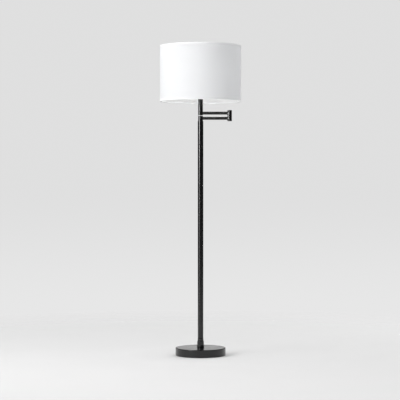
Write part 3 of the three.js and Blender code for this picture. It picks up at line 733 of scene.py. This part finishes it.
def bulb():
    s = Span("bulb_cap")
    r = s.r
    screw = threads(r, s.foot + 6, s.top - 3, BULB_PITCH, 0.7)
    outline = [(0, s.foot), (3.6, s.foot + 0.2), (4.6, s.foot + 1.2), (7.5, s.foot + 2.2),
               (r - 1.2, s.foot + 5), *screw, (r - 0.1, s.top - 2), (r - 0.1, s.top), (0, s.top)]
    piece("bulb_screw", lathe(outline, closed=False), nickel, "upper_arm", ["bulb_cap"])

    s = Span("bulb_globe")
    centre = s.top - s.r
    body = [(13.0, s.foot + 1.2), (13.9, s.foot + 4), (15.6, s.foot + 8.5), (18.4, s.foot + 14.5),
            (21.6, s.foot + 20.5), (24.7, s.foot + 26.5), (27.2, s.foot + 32.5), (28.9, s.foot + 38.5)]
    groove = [(29.35, s.foot + 41.5), (28.9, s.foot + 42.0), (29.4, s.foot + 42.5)]
    dome = [(s.r * math.cos(a), centre + s.r * math.sin(a))
            for a in (math.pi / 2 * k / 24 for k in range(-2, 25))]
    dome = [p for p in dome if p[1] > s.foot + 43]
    outline = [(0, s.foot), (12.6, s.foot), *body, *groove, *dome[:-1], (0, s.top)]
    piece("bulb", lathe(outline, closed=False), opal, "upper_arm", ["bulb_globe"])


# ---------- Shade ----------
LINER = Span("shade_liner")
RING = Span("shade_top_ring")
TRIM = Span("shade_top_trim")
SPIDER = Span("shade_spider")
REAR = math.pi / 2  # the cloth's lap faces away from the front
FRAME_WIRE_R = 1.6  # wire of the shade's rings and spider


def drum(inner, thick, foot, top, lap, rows, ripple):
    """A sheet rolled into a drum, whose far end laps over its start. ripple(angle, z) moves it in or out."""
    around = 2 * math.pi * (inner + thick)
    lap_angle = 2 * math.pi * lap / around
    step_up = thick + 0.08
    turns = [2 * math.pi * k / WIDE for k in range(WIDE)]
    turns += [2 * math.pi + lap_angle * k / 6 for k in range(7)]
    heights = [foot + (top - foot) * k / rows for k in range(rows + 1)]
    sections = []
    for turn in turns:
        rise = min(1.0, max(0.0, (turn - 2 * math.pi + 0.03) / 0.03))
        lift = step_up * rise * rise * (3 - 2 * rise)
        angle = REAR - lap_angle / 2 + turn
        section = []
        for layer, run in ((thick, heights), (0, heights[::-1])):
            for z in run:
                r = inner + layer + lift + ripple(angle, z)
                section.append((r * math.cos(angle), r * math.sin(angle), z))
        sections.append(section)
    return loft(sections)


def faint_ripple(angle, z):
    """Under a tenth of a millimetre, as cloth on a stiff liner shows."""
    broad = 0.05 * math.sin(7 * angle + 0.011 * z) * math.sin(0.021 * z + 3 * angle)
    return broad + 0.03 * math.sin(19 * angle)


def no_ripple(angle, z):
    return 0.0


def trim_outline(edge, way):
    """The folded tape's outline. edge is the shade's edge, and way is 1 at the top and -1 at the bottom."""
    outer, inner = TRIM.r, RING.r - 2 * FRAME_WIRE_R - 0.8
    leg, inner_leg = TRIM.height, 7.0
    outline = rounded([
        (outer, leg, 0.15), (outer, 0, 1.1), (inner, 0, 1.8), (inner, inner_leg, 0.15),
        (inner + TAPE_T, inner_leg, 0.15), (inner + TAPE_T, TAPE_T, 1.35), (outer - TAPE_T, TAPE_T, 0.65),
        (outer - TAPE_T, leg, 0.15)])
    return [(r, edge - way * depth) for r, depth in outline]


def shade_cloth():
    hidden = 2.0  # of the cloth, under each trim's fold
    foot, top = shade_span.foot + hidden, shade_span.top - hidden
    inner = shade_span.r - 0.6
    skin = piece("drum_cloth", drum(inner, FABRIC_T, foot, top, FABRIC_LAP, 24, faint_ripple), fabric,
                 "shade", ["shade_fabric"])
    roll = drum(LINER.r - 1.0, LINER_T, foot, top, 0, 6, no_ripple)
    piece("drum_liner", roll, liner_plastic, "shade", ["shade_liner"])
    for name, node, edge, way in (("trim_upper", "shade_top_trim", Span("shade_top_trim").top, 1),
                                  ("trim_lower", "shade_bottom_trim", Span("shade_bottom_trim").foot, -1)):
        piece(name, lathe(trim_outline(edge, way), WIDE), tape, "shade", [node])


def shade_frame():
    for name, node in (("ring_upper", "shade_top_ring"), ("ring_lower", "shade_bottom_ring")):
        s = Span(node)
        outline = [(s.r - FRAME_WIRE_R + FRAME_WIRE_R * math.cos(a), s.z + FRAME_WIRE_R * math.sin(a))
                   for a in (2 * math.pi * k / 14 for k in range(14))]
        piece(name, lathe(outline, WIDE), enamel, "shade", [node])

    level = SPIDER.foot + 1.4
    ring_r = RING.r - FRAME_WIRE_R
    ring_z = RING.z
    bend = 12
    hub = lathe(rounded([
        (3.6, level - 1, 0.2), (12.5, level - 1, 0.4), (12.5, level + 0.6, 0.4), (8.2, level + 1.0, 0.3),
        (3.6, level + 1.0, 0.2)], steps=4), 96)
    shapes = [hub]
    for k in range(3):
        turn = Matrix.Rotation(math.pi / 2 + 2 * math.pi * k / 3, 4, "Z")
        points = [(x, 0, z) for x, z in (
            (8.5, level), (20, level), (60, level), (110, level), (ring_r - 2.2 * bend, level),
            (ring_r - bend, level + 0.3), (ring_r - 0.32 * bend, level + 0.3 * bend),
            (ring_r, level + bend), (ring_r, ring_z - 2.2))]
        shapes.append(moved(wire(smooth_path(points, 6), FRAME_WIRE_R), turn))
        for spot, size in (((ring_r, 0, ring_z - 2.0), 2.1), ((12.3, 0, level + 0.2), 2.2)):
            bead = lathe([(0, -size * 0.8), (size * 0.8, -size * 0.4), (size, 0), (size * 0.8, size * 0.4),
                          (0, size * 0.8)], 24, closed=False, at=spot[:2])
            lifted = ([(x, y, z + spot[2]) for x, y, z in bead[0]], bead[1])
            shapes.append(moved(lifted, turn))
    piece("spider_frame", merged(*shapes), enamel, "shade", ["shade_spider"])


def finial():
    s = Span("harp_stud")
    shaft = 3.1
    seat = SPIDER.foot + 0.1  # the collar that the spider rests on
    harp_top = Span("harp").top
    outline = [(0, s.foot), *rounded([
        (0, s.foot, 0), (5, s.foot, 0.6), (5, harp_top - 3.9, 0.3), (shaft, harp_top - 3.9, 0),
        (shaft, harp_top + 0.3, 0), (s.r, harp_top + 0.3, 0.3), (s.r, seat, 0.4), (shaft, seat, 0)],
        closed=False, steps=3)[1:], *threads(shaft, seat + 0.5, s.top - 0.6, 0.95, 0.3), (0, s.top)]
    piece("swivel_stud", lathe(outline, 64, closed=False), nickel, "shade", ["harp_stud"])

    s = Span("finial")
    f = s.foot
    base = [(3.3, f), (6.2, f), (s.r, f + 0.4), (s.r, f + 2.0), (s.r - 0.4, f + 2.6), (5.2, f + 3.1),
            (4.4, f + 4.0), (4.5, f + 4.9)]
    ball_r, ball_z = 6.4, s.top - 6.4
    ball = [(ball_r * math.cos(a), ball_z + ball_r * math.sin(a))
            for a in (math.radians(-48 + 138 * k / 20) for k in range(20))]
    bore = [(0, f + 11.4), (3.3, f + 11.4)]
    outline = [*bore, *base, *ball, (0, s.top)]
    piece("finial_ball", lathe(outline, 96, closed=False), paint, "shade", ["finial"])


# ---------- CAD nodes that stay ----------
STAYS = {
    "base_weight": iron, "pole_coupling_1": zinc, "pole_coupling_2": zinc, "pole_coupling_3": zinc,
    "pole_top_plug": zinc, "pole_pivot": zinc, "pole_pivot_washer": zinc, "pole_pivot_nut": zinc,
    "pole_lead": jacket, "elbow_pivot": zinc, "elbow_washer": zinc, "elbow_nut": zinc,
    "lower_arm_lead": jacket, "upper_arm_lead": jacket, "socket_body": phenolic}


def dress_cad():
    for name, material in STAYS.items():
        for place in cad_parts[name].material_slots:
            place.material = material


base_shell()
base_details()
pole()
lower_arm()
upper_arm()
harp()
saddle()
socket()
switch()
bulb()
shade_cloth()
shade_frame()
finial()
dress_cad()


# ---------- Studio, in metres ----------
FLOOR_R = 7.0
KEY_WAY = Vector((-0.6, -0.15, 0.75)).normalized()
SKY_LOW, SKY_HIGH = 0.26, 0.92  # away from the key, and towards it
GLOSS_FLAG, GLOSS_BACKDROP = 0.04, 0.75
STREAK_WIDTH = 0.5
STREAK = ((0.02, 0.6, 5), (0.6, 0.9, 9), (0.9, 1.2, 24), (1.2, 2.6, 46))  # foot, top, brightness


def studio_floor():
    """A pale floor that fades out far from the lamp, so that it has no edge or horizon. What the camera
    sees of it fades sooner. It is clear from below, so that it doesn't hide the lamp's underside."""
    mesh = bpy.data.meshes.new("floor")
    disc = bmesh.new()
    bmesh.ops.create_circle(disc, cap_ends=True, radius=FLOOR_R, segments=128)
    disc.to_mesh(mesh)
    disc.free()
    floor = bpy.data.objects.new("floor", mesh)
    scene.collection.objects.link(floor)
    n = Nodes("floor_paper", Specular_IOR_Level=0.1, Roughness=0.9)
    n.set("Base Color", n.colours(n.noise(3, 2), (0.3, (0.755, 0.755, 0.755)), (0.7, (0.765, 0.765, 0.765))))
    distance = n.add("ShaderNodeVectorMath", {0: n.place}, operation="LENGTH").outputs["Value"]
    far = n.between(distance, 0.0, 1.0, 2.2, FLOOR_R * 0.95)
    seen = n.add("ShaderNodeLightPath").outputs["Is Camera Ray"]
    near = n.math("MULTIPLY", n.between(distance, 0.0, 1.0, 0.35, 2.4), seen)
    below = n.add("ShaderNodeNewGeometry").outputs["Backfacing"]
    fade = n.math("MAXIMUM", n.math("MAXIMUM", far, near), below)
    clear = n.add("ShaderNodeBsdfTransparent")
    mix = n.add("ShaderNodeMixShader", {0: fade, 1: n.shader.outputs[0], 2: clear.outputs[0]})
    n.tree.links.new(mix.outputs[0], n.output.inputs["Surface"])
    mesh.materials.append(n.material)


def studio_world():
    """A pale backdrop for the camera, a soft lopsided sky for matt surfaces, and for gloss a pale
    backdrop behind with dark flags to the sides and in front."""
    world = bpy.data.worlds.new("studio")
    scene.world = world
    world.use_nodes = True
    tree = world.node_tree
    tree.nodes.clear()

    def add(kind, inputs=None, **settings):
        return add_node(tree, kind, inputs, **settings)

    way = add("ShaderNodeTexCoord").outputs["Generated"]
    axes = add("ShaderNodeSeparateXYZ", {0: way}).outputs

    def between(value, low, high, start, end):
        inputs = {"Value": value, "From Min": start, "From Max": end, "To Min": low, "To Max": high}
        return add("ShaderNodeMapRange", inputs, interpolation_type="SMOOTHSTEP").outputs["Result"]

    seen = between(axes["Z"], 0.80, 0.742, -0.09, 0.0)
    toward_key = add("ShaderNodeVectorMath", {0: way, 1: KEY_WAY}, operation="DOT_PRODUCT").outputs["Value"]
    soft = between(toward_key, SKY_LOW, SKY_HIGH, -1.0, 1.0)
    aside = add("ShaderNodeMath", {0: axes["X"]}, operation="ABSOLUTE").outputs[0]
    ahead = between(aside, GLOSS_BACKDROP, GLOSS_FLAG, 0.12, 0.35)
    gloss = add("ShaderNodeMath", {0: between(axes["Y"], 0.0, 1.0, 0.0, 0.3), 1: ahead}, operation="MULTIPLY")
    gloss = add("ShaderNodeMath", {0: gloss.outputs[0], 1: GLOSS_FLAG}, operation="MAXIMUM").outputs[0]
    path = add("ShaderNodeLightPath").outputs
    white = (1, 1, 1, 1)
    shades = [add("ShaderNodeBackground", {"Color": white, "Strength": value}).outputs[0]
              for value in (soft, gloss, seen)]
    first = add("ShaderNodeMixShader", {0: path["Is Glossy Ray"], 1: shades[0], 2: shades[1]})
    second = add("ShaderNodeMixShader", {0: path["Is Camera Ray"], 1: first.outputs[0], 2: shades[2]})
    out = add("ShaderNodeOutputWorld")
    tree.links.new(second.outputs[0], out.inputs["Surface"])


def softbox(name, at, aim, size, power, for_gloss):
    """A rectangular light for matt surfaces only, or for reflections only."""
    lamp = bpy.data.lights.new(name, "AREA")
    lamp.shape = "RECTANGLE"
    lamp.size, lamp.size_y = size
    lamp.energy = power
    holder = bpy.data.objects.new(name, lamp)
    holder.location = at
    holder.rotation_euler = (Vector(aim) - Vector(at)).to_track_quat("-Z", "Y").to_euler()
    holder.visible_camera = False
    holder.visible_glossy = for_gloss
    holder.visible_diffuse = holder.visible_transmission = not for_gloss
    scene.collection.objects.link(holder)


studio_floor()
studio_world()
softbox("key", (-2.6, -1.7, 1.7), (0, 0, 0.9), (1.4, 1.8), 53, False)
for k, (foot, top, brightness) in enumerate(STREAK):
    middle = (foot + top) / 2
    area = STREAK_WIDTH * (top - foot)
    softbox(f"streak_{k}", (-2.4, -2.15, middle), (0, 0, middle), (STREAK_WIDTH, top - foot),
            math.pi * area * brightness, True)
softbox("fill", (0.5, -3.5, 1.3), (0, 0, 1.2), (1.0, 1.0), 17, False)
softbox("rim", (2.4, 2.0, 1.6), (0, 0, 1.1), (1.2, 2.2), 23, False)
softbox("hair", (0, 2.2, 3.0), (0, 0, 0.4), (2.4, 0.8), 25, True)

bpy.context.view_layer.update()
